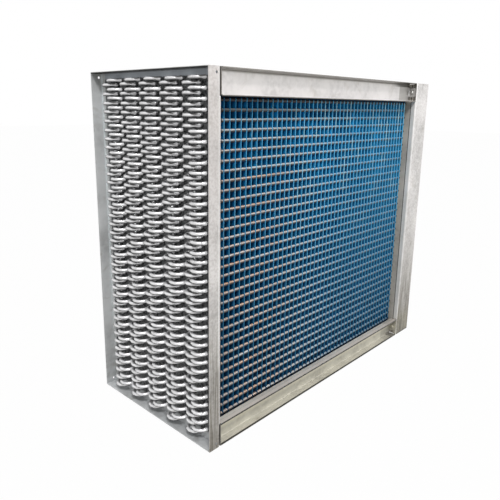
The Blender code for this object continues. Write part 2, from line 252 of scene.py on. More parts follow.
def tubeGroup():
    # drawn metal with small spots, and painted shade on what faces down
    group, source, target = newGroup(
        "metalSpeck",
        [
            ("Vector", "NodeSocketVector", (0.0, 0.0, 0.0)),
            ("Facing", "NodeSocketVector", (0.0, 0.0, 1.0)),
            ("Main", "NodeSocketColor", (0.8, 0.8, 0.8, 1.0)),
            ("Other", "NodeSocketColor", (0.6, 0.6, 0.6, 1.0)),
            ("Underside Shade", "NodeSocketColor", (0.3, 0.3, 0.3, 1.0)),
            ("Scale", "NodeSocketFloat", 40.0),
            ("Low", "NodeSocketFloat", 0.2),
            ("High", "NodeSocketFloat", 0.4),
            ("Shade From", "NodeSocketFloat", -0.7),
            ("Shade To", "NodeSocketFloat", 0.1),
        ],
        [("Color", "NodeSocketColor"), ("Roughness", "NodeSocketFloat")],
    )
    noise = addNode(group, "ShaderNodeTexNoise")
    noise.inputs["Detail"].default_value = 4.0
    link(group, source.outputs["Vector"], noise.inputs["Vector"])
    link(group, source.outputs["Scale"], noise.inputs["Scale"])
    spots = addNode(group, "ShaderNodeMapRange")
    spots.inputs["From Min"].default_value = 0.35
    spots.inputs["From Max"].default_value = 0.65
    link(group, noise.outputs["Fac"], spots.inputs["Value"])
    spotted = blend(group, spots.outputs["Result"], source.outputs["Main"], source.outputs["Other"])
    # painted shade: what faces down takes the darker colour
    facing = addNode(group, "ShaderNodeSeparateXYZ")
    link(group, source.outputs["Facing"], facing.inputs["Vector"])
    upper = addNode(group, "ShaderNodeMapRange", interpolation_type="SMOOTHSTEP")
    link(group, facing.outputs["Z"], upper.inputs["Value"])
    link(group, source.outputs["Shade From"], upper.inputs["From Min"])
    link(group, source.outputs["Shade To"], upper.inputs["From Max"])
    coloured = blend(group, upper.outputs["Result"], source.outputs["Underside Shade"], spotted)
    link(group, coloured, target.inputs["Color"])
    rough = addNode(group, "ShaderNodeMix", data_type="FLOAT")
    link(group, spots.outputs["Result"], rough.inputs["Factor"])
    link(group, source.outputs["Low"], rough.inputs["A"])
    link(group, source.outputs["High"], rough.inputs["B"])
    link(group, rough.outputs["Result"], target.inputs["Roughness"])
    return group


zincMottle = sheetGroup()
metalSpeck = tubeGroup()
print("shader groups ready")


def newMaterial(name, metallic):
    material = bpy.data.materials.new(name)
    material.use_nodes = True
    shader = material.node_tree.nodes["Principled BSDF"]
    shader.inputs["Metallic"].default_value = metallic
    coords = addNode(material.node_tree, "ShaderNodeTexCoord")
    return material, material.node_tree, shader, coords


# galvanised sheet

sheetLook = {
    "light": (0.78, 0.765, 0.76, 1.0),
    "dark": (0.54, 0.53, 0.525, 1.0),
    "stain": (0.36, 0.33, 0.28, 1.0),
    "darkTint": (0.36, 0.34, 0.29, 1.0),
    "dull": (0.74, 0.72, 0.71, 1.0),
    "olive": (0.83, 0.82, 0.72, 1.0),
    "cream": (0.72, 0.69, 0.56, 1.0),
    "brown": (0.90, 0.86, 0.78, 1.0),
    "ledge": (0.78, 0.68, 0.65, 1.0),
    "hem": (0.66, 0.60, 0.54, 1.0),
    # painted highlight laid along folds
    "fold": (0.93, 0.94, 0.94, 1.0),
    "strip": (0.55, 0.52, 0.44, 1.0),
    "shade": (0.20, 0.19, 0.17, 1.0),
    "line": (0.04, 0.038, 0.032, 1.0),
    "deep": (0.17, 0.175, 0.18, 1.0),
    "deepSpot": (0.025, 0.025, 0.028, 1.0),
    "topField": (0.46, 0.50, 0.55, 1.0),
    "cool": (0.93, 0.97, 0.99, 1.0),
    "metallic": 0.3,
    "bump": 0.06,
    "bumpDistance": 0.01,
}


def makeSheet(name):
    material, tree, shader, coords = newMaterial(name, sheetLook["metallic"])
    vector = coords.outputs["Object"]
    zinc = addNode(tree, "ShaderNodeGroup", node_tree=zincMottle)
    link(tree, vector, zinc.inputs["Vector"])
    for label in ("light", "dark", "stain"):
        zinc.inputs[label.capitalize()].default_value = sheetLook[label]
    link(tree, zinc.outputs["Roughness"], shader.inputs["Roughness"])
    bump = addNode(tree, "ShaderNodeBump")
    bump.inputs["Strength"].default_value = sheetLook["bump"]
    bump.inputs["Distance"].default_value = sheetLook["bumpDistance"]
    link(tree, zinc.outputs["Height"], bump.inputs["Height"])
    link(tree, bump.outputs["Normal"], shader.inputs["Normal"])
    return material, tree, shader, vector, zinc.outputs["Color"]


# end plates: the front flange darker towards the floor, painted highlights along the folds; in each pair of
# values a mask rises or falls, or a band starts and ends, measured from an edge or from the floor

plateMarks = {
    "flange": (-0.010, 0.001),
    "speckScale": 150.0,
    "speckRange": (0.44, 0.60),
    "speckStrength": 0.55,
    "streakStretch": (230.0, 1.0, 7.0),
    "streakRange": (0.46, 0.56),
    "streakHeight": (0.45, 0.12),
    "streakStrength": 0.75,
    "fold": (0.0018, 0.0056),
    "foldHeight": (0.07, 0.40),
    "frontFold": (-0.001, 0.005),
    "backFold": (-0.0075, -0.0010),
}
leftMarks = {
    "darkeningHeight": (0.62, -0.26),
    "foldStrength": 0.8,
    "stripe": (0.016, 0.023),
    "stripeBlur": 0.002,
    "stripeHeight": (0.35, 0.05),
    "stripeStrength": 0.6,
    "upperHeight": (0.25, 0.95),
    "behind": (0.001, 0.003),
    "spotScale": 120.0,
    "spotRange": (0.45, 0.62),
    "fieldFace": (-0.0035, 0.001),
    "fieldFaceBlur": 0.001,
    "fieldFront": 0.008,
    "fieldBack": -0.018,
    "fieldBlur": 0.003,
    "fieldBottom": (0.002, 0.012),
    "overBends": (-0.003, 0.001),
    "underTop": (-0.0040, -0.0012),
    "underTopBlur": 0.0004,
    "underTopReach": (-0.0010, -0.0030),
}
rightMarks = {
    "darkeningHeight": (0.62, -0.30),
    "foldStrength": 0.4,
    "inside": (0.0006, 0.0002),
    "insideShade": 0.08,
    "seam": (0.0165, 0.0195),
    "nearFloor": (0.14, 0.04),
    "footLine": (0.0055, 0.0030),
    "footStrength": 0.8,
}


def paintLeftPlate(tree, vector, colour, flange):
    # a dark stripe down the flange, painted shade on the web behind the bends and a painted shadow under
    # the top flange
    marks = leftMarks
    front, web = casing["front"], casing["leftWeb"]
    stripe = bandMask(
        tree, vector, "X", *around(casing["leftEdge"], marks["stripe"]), blur=marks["stripeBlur"],
    )
    stripe = product(tree, stripe, flange)
    stripeHeight = axisMask(tree, vector, "Z", *marks["stripeHeight"])
    colour = layer(tree, colour, sheetLook["shade"], stripe, stripeHeight, marks["stripeStrength"])
    upper = axisMask(tree, vector, "Z", *marks["upperHeight"])
    colour = layer(tree, colour, sheetLook["dull"], upper, flange, mode="MULTIPLY")
    behind = axisMask(tree, vector, "Y", *around(front, marks["behind"]))
    colour = layer(tree, colour, sheetLook["cool"], behind, mode="MULTIPLY")
    # painted shade: the web behind the bends is dark with darker spots, and lighter above the bends
    spots = noiseMask(tree, vector, marks["spotScale"], *marks["spotRange"], detail=3.0)
    face = bandMask(tree, vector, "X", *around(web, marks["fieldFace"]), blur=marks["fieldFaceBlur"])
    depth = bandMask(
        tree, vector, "Y", front + marks["fieldFront"], casing["back"] + marks["fieldBack"],
        blur=marks["fieldBlur"],
    )
    height = axisMask(tree, vector, "Z", *around(pack["bottom"], marks["fieldBottom"]))
    overBends = axisMask(tree, vector, "Z", *around(pack["top"], marks["overBends"]))
    fieldColour = blend(tree, spots, sheetLook["deep"], sheetLook["deepSpot"])
    fieldColour = blend(tree, overBends, fieldColour, sheetLook["topField"])
    colour = layer(tree, colour, fieldColour, face, depth, height)
    # painted shadow under the top flange
    underTop = bandMask(
        tree, vector, "Z", *around(casing["height"], marks["underTop"]), blur=marks["underTopBlur"],
    )
    reach = axisMask(tree, vector, "X", *around(web, marks["underTopReach"]))
    return layer(tree, colour, sheetLook["line"], underTop, reach, behind)


def paintRightPlate(tree, vector, colour, flange):
    # a browner inner side with a touch of painted shade and a seam, an olive foot and a dark line at the
    # floor
    marks = rightMarks
    inside = axisMask(tree, vector, "X", *around(casing["rightWeb"], marks["inside"]))
    seam = bandMask(tree, vector, "Y", *around(casing["front"], marks["seam"]))
    colour = layer(tree, colour, sheetLook["brown"], inside, mode="MULTIPLY")
    # painted shade on the inner face
    colour = layer(tree, colour, sheetLook["shade"], inside, marks["insideShade"])
    colour = layer(tree, colour, sheetLook["line"], inside, seam)
    nearFloor = axisMask(tree, vector, "Z", *marks["nearFloor"])
    colour = layer(tree, colour, sheetLook["olive"], nearFloor, flange, mode="MULTIPLY")
    footLine = axisMask(tree, vector, "Z", *marks["footLine"])
    return layer(tree, colour, sheetLook["line"], footLine, flange, marks["footStrength"])


def makePlateSheet(name, web, outwards):
    material, tree, shader, vector, colour = makeSheet(name)
    marks = leftMarks if outwards < 0 else rightMarks
    flange = bandMask(tree, vector, "Y", *around(casing["front"], plateMarks["flange"]))
    # the front flange darker towards the floor
    lowDarkening = axisMask(tree, vector, "Z", *marks["darkeningHeight"])
    colour = layer(tree, colour, sheetLook["darkTint"], lowDarkening, flange, mode="MULTIPLY")
    specks = noiseMask(tree, vector, plateMarks["speckScale"], *plateMarks["speckRange"], detail=3.0)
    strength = plateMarks["speckStrength"]
    colour = layer(tree, colour, sheetLook["dull"], specks, flange, strength, mode="MULTIPLY")
    upright = stretched(tree, vector, plateMarks["streakStretch"])
    streaks = noiseMask(tree, upright, 1.0, *plateMarks["streakRange"], detail=2.0)
    streaks = product(tree, streaks, axisMask(tree, vector, "Z", *plateMarks["streakHeight"]))
    strength = plateMarks["streakStrength"]
    colour = layer(tree, colour, sheetLook["darkTint"], streaks, flange, strength, mode="MULTIPLY")
    # painted highlight: a bright band along the fold of each flange, fading near the floor
    fold = bandMask(tree, vector, "X", *sorted(web + outwards * mark for mark in plateMarks["fold"]))
    fold = product(tree, fold, axisMask(tree, vector, "Z", *plateMarks["foldHeight"]))
    for edge, side in (("front", "frontFold"), ("back", "backFold")):
        atFold = bandMask(tree, vector, "Y", *around(casing[edge], plateMarks[side]))
        colour = layer(tree, colour, sheetLook["fold"], fold, atFold, marks["foldStrength"])
    paint = paintLeftPlate if outwards < 0 else paintRightPlate
    link(tree, paint(tree, vector, colour, flange), shader.inputs["Base Color"])
    return material


# channel rails: painted shade at their cut ends, along their lips and towards their right ends; the low
# ones have an olive web with a cream streak

railMarks = {
    "lip": (-0.001, 0.0008),
    "lipBlur": 0.0003,
    "rightEnd": (-0.084, -0.076),
    "cut": (0.0008, 0.0004),
}
lowRail = {
    "streak": (0.028, 0.040),
    "streakBlur": 0.005,
    "streakStrength": 0.8,
    "underLip": (0.055, 0.0625),
    "underLipBlur": 0.004,
    "underLipStrength": 0.5,
    "ledge": (0.0645, 0.066),
    "hem": (0.0150, 0.0138),
    "seam": (0.0135, 0.0148),
    "seamBlur": 0.0004,
    "seamStrength": 0.6,
    "edge": (-0.001, 0.0050),
    "edgeHeight": (0.006, 0.004),
    "endStrength": 0.3,
    "foot": (-0.040, -0.034),
    "footHeight": (0.012, 0.008),
    "footStrength": 0.8,
    "rightCutStrength": 0.35,
}
topRail = {
    "leftwards": (0.35, -0.35),
    "leftStrength": 0.25,
    "lower": (-0.026, -0.056),
    "lowerStrength": 0.35,
    "shadow": (-0.0085, -0.0025),
    "shadowBlur": 0.003,
    "shadowStrength": 0.9,
    "upperLip": (-0.006, -0.004),
    "lowerLip": (-0.0640, -0.0655),
    "cornerFrom": 0.30,
    "cornerTo": -0.04,
    "cornerHeight": (-0.015, -0.001),
    "cornerBlur": 0.0008,
    "endStrength": 0.55,
    "tabFold": (-0.0045, -0.0020),
    "tabHeight": (-0.046, -0.018),
    "tabDepth": (0.022, 0.024),
}


def paintLowRail(tree, vector, colour, lip, rightEnd):
    front, rightWeb = casing["front"], casing["rightWeb"]
    colour = layer(tree, colour, sheetLook["olive"], 1.0, mode="MULTIPLY")
    streak = bandMask(tree, vector, "Z", *lowRail["streak"], blur=lowRail["streakBlur"])
    colour = layer(tree, colour, sheetLook["cream"], streak, lowRail["streakStrength"])
    # painted shadow under the upper lip
    underLip = bandMask(tree, vector, "Z", *lowRail["underLip"], blur=lowRail["underLipBlur"])
    colour = layer(tree, colour, sheetLook["shade"], underLip, lowRail["underLipStrength"])
    hem = axisMask(tree, vector, "Y", *around(front, lowRail["hem"]))
    seam = bandMask(tree, vector, "Y", *around(front, lowRail["seam"]), blur=lowRail["seamBlur"])
    top = blend(tree, hem, sheetLook["ledge"], sheetLook["hem"])
    top = layer(tree, top, sheetLook["line"], seam, lowRail["seamStrength"])
    colour = layer(tree, colour, top, axisMask(tree, vector, "Z", *lowRail["ledge"]))
    # painted shade along the ledge's front edge
    colour = layer(tree, colour, sheetLook["line"], lip)
    # painted shade along the lower leg's front edge
    edge = bandMask(tree, vector, "Y", *around(front, lowRail["edge"]), blur=railMarks["lipBlur"])
    edgeHeight = axisMask(tree, vector, "Z", *lowRail["edgeHeight"])
    colour = layer(tree, colour, sheetLook["line"], edge, edgeHeight)
    # painted shade towards the right end
    colour = layer(tree, colour, sheetLook["shade"], rightEnd, lowRail["endStrength"])
    # painted shade at the foot by the right end plate, over a slit that would show the floor
    foot = axisMask(tree, vector, "X", *around(rightWeb, lowRail["foot"]))
    footHeight = axisMask(tree, vector, "Z", *lowRail["footHeight"])
    return layer(tree, colour, sheetLook["shade"], foot, footHeight, lowRail["footStrength"])


def paintTopRail(tree, vector, colour, lip, rightEnd):
    front, rightWeb, height = casing["front"], casing["rightWeb"], casing["height"]
    leftwards = axisMask(tree, vector, "X", *topRail["leftwards"])
    strength = topRail["leftStrength"]
    colour = layer(tree, colour, sheetLook["dull"], leftwards, strength, mode="MULTIPLY")
    lower = axisMask(tree, vector, "Z", *around(height, topRail["lower"]))
    strength = topRail["lowerStrength"]
    colour = layer(tree, colour, sheetLook["dull"], lower, strength, mode="MULTIPLY")
    shadow = bandMask(tree, vector, "Z", *around(height, topRail["shadow"]), blur=topRail["shadowBlur"])
    colour = layer(tree, colour, sheetLook["shade"], shadow, topRail["shadowStrength"])
    # painted shade along the upper lip's edge
    upperLip = axisMask(tree, vector, "Z", *around(height, topRail["upperLip"]))
    colour = layer(tree, colour, sheetLook["shade"], lip, upperLip)
    # painted shade on the lower lip's underside
    lowerLip = axisMask(tree, vector, "Z", *around(height, topRail["lowerLip"]))
    colour = layer(tree, colour, sheetLook["line"], lip, lowerLip)
    # painted shadow along the top edge, growing towards the right end
    corner = axisMask(tree, vector, "X", topRail["cornerFrom"], rightWeb + topRail["cornerTo"])
    cornerHeight = bandMask(
        tree, vector, "Z", *around(height, topRail["cornerHeight"]), blur=topRail["cornerBlur"],
    )
    colour = layer(tree, colour, sheetLook["line"], corner, cornerHeight)
    # painted shade towards the right end
    colour = layer(tree, colour, sheetLook["shade"], rightEnd, topRail["endStrength"])
    # painted highlight along the fold of the tab at the right end
    tabFold = bandMask(tree, vector, "X", *around(rightWeb - casing["railGap"], topRail["tabFold"]))
    tabHeight = bandMask(tree, vector, "Z", *around(height, topRail["tabHeight"]))
    tabDepth = axisMask(tree, vector, "Y", *around(front, topRail["tabDepth"]))
    return layer(tree, colour, sheetLook["fold"], tabFold, tabHeight, tabDepth)


def makeRailSheet(name, low):
    material, tree, shader, vector, colour = makeSheet(name)
    # painted shade along the front edges of the lips
    lip = bandMask(
        tree, vector, "Y", *around(casing["front"], railMarks["lip"]), blur=railMarks["lipBlur"],
    )
    # painted shade towards the right end plate
    rightEnd = axisMask(tree, vector, "X", *around(casing["rightWeb"], railMarks["rightEnd"]))
    paint = paintLowRail if low else paintTopRail
    colour = paint(tree, vector, colour, lip, rightEnd)
    for web, inwards in ((casing["leftWeb"], 1), (casing["rightWeb"], -1)):
        # painted shade in the gap at each cut end
        end = web + inwards * casing["railGap"]
        cut = axisMask(tree, vector, "X", *(end + inwards * mark for mark in railMarks["cut"]))
        strength = lowRail["rightCutStrength"] if low and inwards < 0 else 1.0
        colour = layer(tree, colour, sheetLook["line"], cut, strength)
    link(tree, colour, shader.inputs["Base Color"])
    return material


def makePlainSheet(name, tint=None, mode="MULTIPLY"):
    material, tree, shader, vector, colour = makeSheet(name)
    if tint:
        colour = layer(tree, colour, tint, 1.0, mode=mode)
    link(tree, colour, shader.inputs["Base Color"])
    return material


def makeGapShadeSheet(name):
    # painted shade that stands in for the gap, apart from the lower right one, which merges with its rail
    material, tree, shader, vector, colour = makeSheet(name)
    right = axisMask(tree, vector, "X", -0.1, 0.1)
    low = axisMask(tree, vector, "Z", casing["height"] / 2 + 0.05, casing["height"] / 2 - 0.05)
    tint = layer(tree, sheetLook["shade"], sheetLook["olive"], right, low)
    link(tree, layer(tree, colour, tint, 1.0, mode="MULTIPLY"), shader.inputs["Base Color"])
    return material


# tubes, bends, headers, plugs and screws: one recipe, other values

metalLook = {
    "brightBend": {
        "Main": (0.88, 0.88, 0.895, 1.0),
        "Other": (0.68, 0.68, 0.69, 1.0),
        "Underside Shade": (0.050, 0.050, 0.053, 1.0),
        "Scale": 60.0, "Low": 0.15, "High": 0.28, "Shade From": -0.80, "Shade To": 0.15, "metallic": 0.5,
    },
    "finTube": {
        "Underside Shade": (0.03, 0.03, 0.035, 1.0),
        "Scale": 9.0, "Low": 0.4, "High": 0.55, "Shade From": -0.3, "Shade To": 0.8, "metallic": 0.2,
    },
    "headerCopper": {
        "Main": (0.72, 0.39, 0.25, 1.0),
        "Other": (0.50, 0.26, 0.16, 1.0),
        "Underside Shade": (0.45, 0.24, 0.15, 1.0),
        "Scale": 18.0, "Low": 0.25, "High": 0.45, "metallic": 0.9,
    },
    "plugBrass": {
        "Main": (0.80, 0.62, 0.30, 1.0),
        "Other": (0.62, 0.46, 0.20, 1.0),
        "Underside Shade": (0.62, 0.46, 0.20, 1.0),
        "Scale": 50.0, "Low": 0.22, "High": 0.4, "metallic": 1.0,
    },
    "screwZinc": {
        "Main": (0.58, 0.58, 0.56, 1.0),
        "Other": (0.45, 0.44, 0.42, 1.0),
        "Underside Shade": (0.35, 0.35, 0.34, 1.0),
        "Scale": 90.0, "Low": 0.25, "High": 0.4, "metallic": 0.9,
    },
}


def metalBase(name):
    look = dict(metalLook[name])
    material, tree, shader, coords = newMaterial(name, look.pop("metallic"))
    speck = addNode(tree, "ShaderNodeGroup", node_tree=metalSpeck)
    link(tree, coords.outputs["Object"], speck.inputs["Vector"])
    link(tree, coords.outputs["Normal"], speck.inputs["Facing"])
    for label, value in look.items():
        speck.inputs[label].default_value = value
    link(tree, speck.outputs["Color"], shader.inputs["Base Color"])
    link(tree, speck.outputs["Roughness"], shader.inputs["Roughness"])
    return material, tree, shader, coords.outputs["Object"], speck


def makeMetal(name):
    return metalBase(name)[0]


# tubes between the fins: bare copper at the left and low down, elsewhere pale from tarnish and a painted
# bluish reflection; painted shade under the top rail and near the webs

tubeLook = {
    "pale": (0.27, 0.38, 0.47, 1.0),
    "white": (0.42, 0.45, 0.46, 1.0),
    "warm": (0.46, 0.26, 0.15, 1.0),
    "shade": (0.02, 0.02, 0.025, 1.0),
    "shaded": (0.035, 0.03, 0.035, 1.0),
    "warmSide": (-0.05, -0.45),
    "warmHeight": (0.92, 0.70),
    "whiteSide": (0.15, -0.25),
    "patchStretch": (1.0, 1.0, 6.0),
    "patchScale": 5.0,
    "patchRange": (0.42, 0.58),
    "otherWarm": 0.5,
    "underRail": (0.914, 0.926),
    "leftCorner": (0.046, 0.040),
    "rightCorner": (-0.014, -0.010),
}


def makeTubeMetal():
    material, tree, shader, vector, speck = metalBase("finTube")
    look = tubeLook
    warm = axisMask(tree, vector, "X", *look["warmSide"])
    warm = product(tree, warm, axisMask(tree, vector, "Z", *look["warmHeight"]))
    # pale and white: tarnish together with a painted reflection
    ground = blend(tree, axisMask(tree, vector, "X", *look["whiteSide"]), look["pale"], look["white"])
    squeezed = stretched(tree, vector, look["patchStretch"])
    patches = noiseMask(tree, squeezed, look["patchScale"], *look["patchRange"])
    link(tree, layer(tree, ground, look["warm"], warm, patches), speck.inputs["Main"])
    link(tree, layer(tree, ground, look["warm"], warm, look["otherWarm"]), speck.inputs["Other"])
    # painted shadow of the top rail on the upper tubes
    underRail = axisMask(tree, vector, "Z", *look["underRail"])
    colour = layer(tree, speck.outputs["Color"], look["shaded"], underRail)
    # painted shade near each web
    for web, side in (("leftWeb", "leftCorner"), ("rightWeb", "rightCorner")):
        corner = axisMask(tree, vector, "X", *around(casing[web], look[side]))
        colour = layer(tree, colour, look["shade"], corner)
    link(tree, colour, shader.inputs["Base Color"])
    return material


# blue fins: painted highlights and glints along their front and back edges, painted light in patches high
# up, painted shade inside the pack and under the rails, and darker towards the floor

finLook = {
    "top": (0.004, 0.24, 0.52, 1.0),
    "lit": (0.01, 0.42, 0.86, 1.0),
    "bottom": (0.006, 0.060, 0.16, 1.0),
    "edgeTop": (0.14, 0.60, 0.97, 1.0),
    "edgeBottom": (0.06, 0.27, 0.48, 1.0),
    "patch": (0.002, 0.12, 0.32, 1.0),
    "inside": (0.001, 0.050, 0.15, 1.0),
    "glint": (0.45, 0.85, 1.0, 1.0),
    "height": (0.05, 0.85),
    "litScale": 26.0,
    "litRange": (0.50, 0.62),
    "litHeight": (0.55, 0.85),
    "patchScale": 16.0,
    "patchRange": (0.42, 0.62),
    "patchStrength": 0.7,
    "insideDepth": 0.014,
    "insideBlur": 0.007,
    "underRail": (0.066, 0.9285),
    "underRailBlur": 0.0025,
    "glintStretch": (1.0, 1.0, 0.3),
    "glintScale": 34.0,
    "glintRange": (0.52, 0.66),
    "glintHeight": (0.35, 0.95),
    "edge": (0.0030, 0.0020),
    "metallic": 0.5,
    "roughness": 0.36,
}


def makeFinBlue():
    material, tree, shader, coords = newMaterial("blueFinCoating", finLook["metallic"])
    shader.inputs["Roughness"].default_value = finLook["roughness"]
    vector = coords.outputs["Object"]
    high = axisMask(tree, vector, "Z", *finLook["height"])
    body = blend(tree, high, finLook["bottom"], finLook["top"])
    # painted light: brighter patches high up
    lit = noiseMask(tree, vector, finLook["litScale"], *finLook["litRange"], detail=3.0)
    body = layer(tree, body, finLook["lit"], lit, axisMask(tree, vector, "Z", *finLook["litHeight"]))
    patches = noiseMask(tree, vector, finLook["patchScale"], *finLook["patchRange"], detail=5.0)
    body = layer(tree, body, finLook["patch"], patches, finLook["patchStrength"])
    # painted shade deeper inside the pack
    ends = (pack["front"] + finLook["insideDepth"], -pack["front"] - finLook["insideDepth"])
    inside = bandMask(tree, vector, "Y", *ends, blur=finLook["insideBlur"])
    body = layer(tree, body, finLook["inside"], inside)
    # painted shadow under the top rail and behind the bottom rail's ledge
    underRail = bandMask(tree, vector, "Z", *finLook["underRail"], blur=finLook["underRailBlur"])
    body = blend(tree, underRail, finLook["inside"], body)
    # painted highlights along the fin edges, with painted glints
    edge = blend(tree, high, finLook["edgeBottom"], finLook["edgeTop"])
    squeezed = stretched(tree, vector, finLook["glintStretch"])
    glints = noiseMask(tree, squeezed, finLook["glintScale"], *finLook["glintRange"], detail=2.0)
    edge = layer(tree, edge, finLook["glint"], glints, axisMask(tree, vector, "Z", *finLook["glintHeight"]))
    edge = blend(tree, underRail, finLook["inside"], edge)
    for face, inwards in ((pack["front"], 1), (-pack["front"], -1)):
        rim = axisMask(tree, vector, "Y", *(face + inwards * mark for mark in finLook["edge"]))
        body = layer(tree, body, edge, rim)
    link(tree, body, shader.inputs["Base Color"])
    return material


leftPlateSheet = makePlateSheet("leftPlateSheet", casing["leftWeb"], -1)
rightPlateSheet = makePlateSheet("rightPlateSheet", casing["rightWeb"], 1)
topRailSheet = makeRailSheet("topRailSheet", low=False)
bottomRailSheet = makeRailSheet("bottomRailSheet", low=True)
plainSheet = makePlainSheet("plainSheet")
gapShadeSheet = makeGapShadeSheet("gapShadeSheet")
# painted light: the right edge strips get a lighter, warmer copy of the plain sheet
stripSheet = makePlainSheet("stripSheet", sheetLook["strip"], "SCREEN")
brightBend = makeMetal("brightBend")
finTube = makeTubeMetal()
headerCopper = makeMetal("headerCopper")
plugBrass = makeMetal("plugBrass")
screwZinc = makeMetal("screwZinc")
finBlue = makeFinBlue()
print("materials ready")


# mesh helpers

def meshFrom(name, bm):
    mesh = bpy.data.meshes.new(name)
    bm.to_mesh(mesh)
    bm.free()
    return mesh


def newPiece(name, mesh, material, smooth=False):
    piece = bpy.data.objects.new(name, mesh)
    bpy.context.scene.collection.objects.link(piece)
    mesh.materials.append(material)
    for polygon in mesh.polygons:
        polygon.use_smooth = smooth
    return piece


def stampCopies(source, placements):
    # one mesh that holds a copy of the source for each placement matrix
    bm = bmesh.new()
    for matrix in placements:
        count = len(bm.verts)
        bm.from_mesh(source)
        bm.verts.ensure_lookup_table()
        bmesh.ops.transform(bm, matrix=matrix, verts=bm.verts[count:])
    return bm


def tubeMesh(name, length, radius, sides):
    bm = bmesh.new()
    bmesh.ops.create_cone(
        bm, cap_ends=True, cap_tris=False, segments=sides, radius1=radius, radius2=radius, depth=length,
    )
    bmesh.ops.rotate(bm, verts=bm.verts, cent=(0, 0, 0), matrix=Matrix.Rotation(math.pi / 2, 3, "Y"))
    return meshFrom(name, bm)


# return bends

bend = {
    "sides": 6,
    "arcSteps": 6,
    "radius": 0.0055,
    "straight": 0.0079,
    "socketRadius": 0.0060,
    "flareRadius": 0.0070,
    "rimLength": 0.0003,
    "flareLength": 0.0016,
    "socketLength": 0.0064,
    "sink": 0.0006,
    "tilt": 0.05,
    "seed": 4,
}


def bendMesh():
    # tube bend towards -X with a flared socket at each foot, its middle at the origin
    radius = bend["radius"]
    half = pack["rowPitch"]
    bm = bmesh.new()
    bmesh.ops.create_circle(bm, cap_ends=False, segments=bend["sides"], radius=radius)
    bmesh.ops.rotate(bm, verts=bm.verts, cent=(0, 0, 0), matrix=Matrix.Rotation(math.pi / 2, 3, "Y"))
    bmesh.ops.translate(bm, verts=bm.verts, vec=(-bend["straight"], -half, 0))
    bmesh.ops.spin(
        bm, geom=list(bm.verts) + list(bm.edges), cent=(-bend["straight"], 0, 0), axis=(0, 0, 1),
        angle=-math.pi, steps=bend["arcSteps"], use_duplicate=False,
    )
    for side in (-1, 1):
        edges = [
            edge for edge in bm.edges
            if len(edge.link_faces) == 1 and edge.verts[0].co.y * side > 0
        ]
        centre = Vector((0, side * half, 0))
        scaled = radius
        steps = (
            (bend["flareRadius"], bend["rimLength"]),
            (bend["socketRadius"], bend["flareLength"]),
            (bend["socketRadius"], bend["socketLength"] + bend["sink"]),
        )
        for newRadius, move in steps:
            result = bmesh.ops.extrude_edge_only(bm, edges=edges)
            edges = [item for item in result["geom"] if isinstance(item, bmesh.types.BMEdge)]
            verts = [item for item in result["geom"] if isinstance(item, bmesh.types.BMVert)]
            factor = newRadius / scaled
            bmesh.ops.scale(
                bm, verts=verts, vec=(1.0, factor, factor), space=Matrix.Translation(-centre),
            )
            bmesh.ops.translate(bm, verts=verts, vec=(move, 0, 0))
            scaled = newRadius
    rims = [edge for edge in bm.edges if len(edge.link_faces) == 1]
    bmesh.ops.holes_fill(bm, edges=rims, sides=0)
    bmesh.ops.recalc_face_normals(bm, faces=bm.faces)
    return meshFrom("bendShape", bm)


def bendPlaces(face, outwards, firstRows):
    # firstRows: for even and for odd rows, the first row of every bend
    shuffle = random.Random(bend["seed"])
    turn = Matrix.Identity(4) if outwards < 0 else Matrix.Rotation(math.pi, 4, "Z")
    places = []
    for level in range(pack["levels"]):
        for rows in firstRows:
            for row in rows:
                tilt = Matrix.Rotation(shuffle.uniform(-1, 1) * bend["tilt"], 4, "Y")
                y = rowY(row) + pack["rowPitch"]
                place = Matrix.Translation((face, y, levelZ(level, row)))
                places.append(place @ turn @ tilt)
    return places


bendSource = bendMesh()
leftFace = casing["leftWeb"] - casing["sheet"]
rightFace = casing["rightWeb"] + casing["sheet"]
leftPlaces = bendPlaces(leftFace, -1, [range(first, pack["rows"], 4) for first in (0, 1)])
rightPlaces = bendPlaces(rightFace, 1, [range(first, pack["rows"] - 2, 4) for first in (2, 3)])
leftMesh = meshFrom("leftReturnBends", stampCopies(bendSource, leftPlaces))
rightMesh = meshFrom("rightReturnBends", stampCopies(bendSource, rightPlaces))
leftBends = newPiece("leftReturnBends", leftMesh, brightBend, smooth=True)
rightBends = newPiece("rightReturnBends", rightMesh, brightBend, smooth=True)
for piece in (leftBends, rightBends):
    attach(piece, "root")
print("return bends", len(leftBends.data.polygons), len(rightBends.data.polygons))


# left end plate, one folded sheet

tray = {
    "foldSteps": 4,
    "foldRadius": 0.004,
    "holeRadius": 0.0035,
    "holeSides": 16,
    "cutterLength": 0.012,
    "holeFromWeb": 0.012,
    "holeFromEdge": 0.014,
}


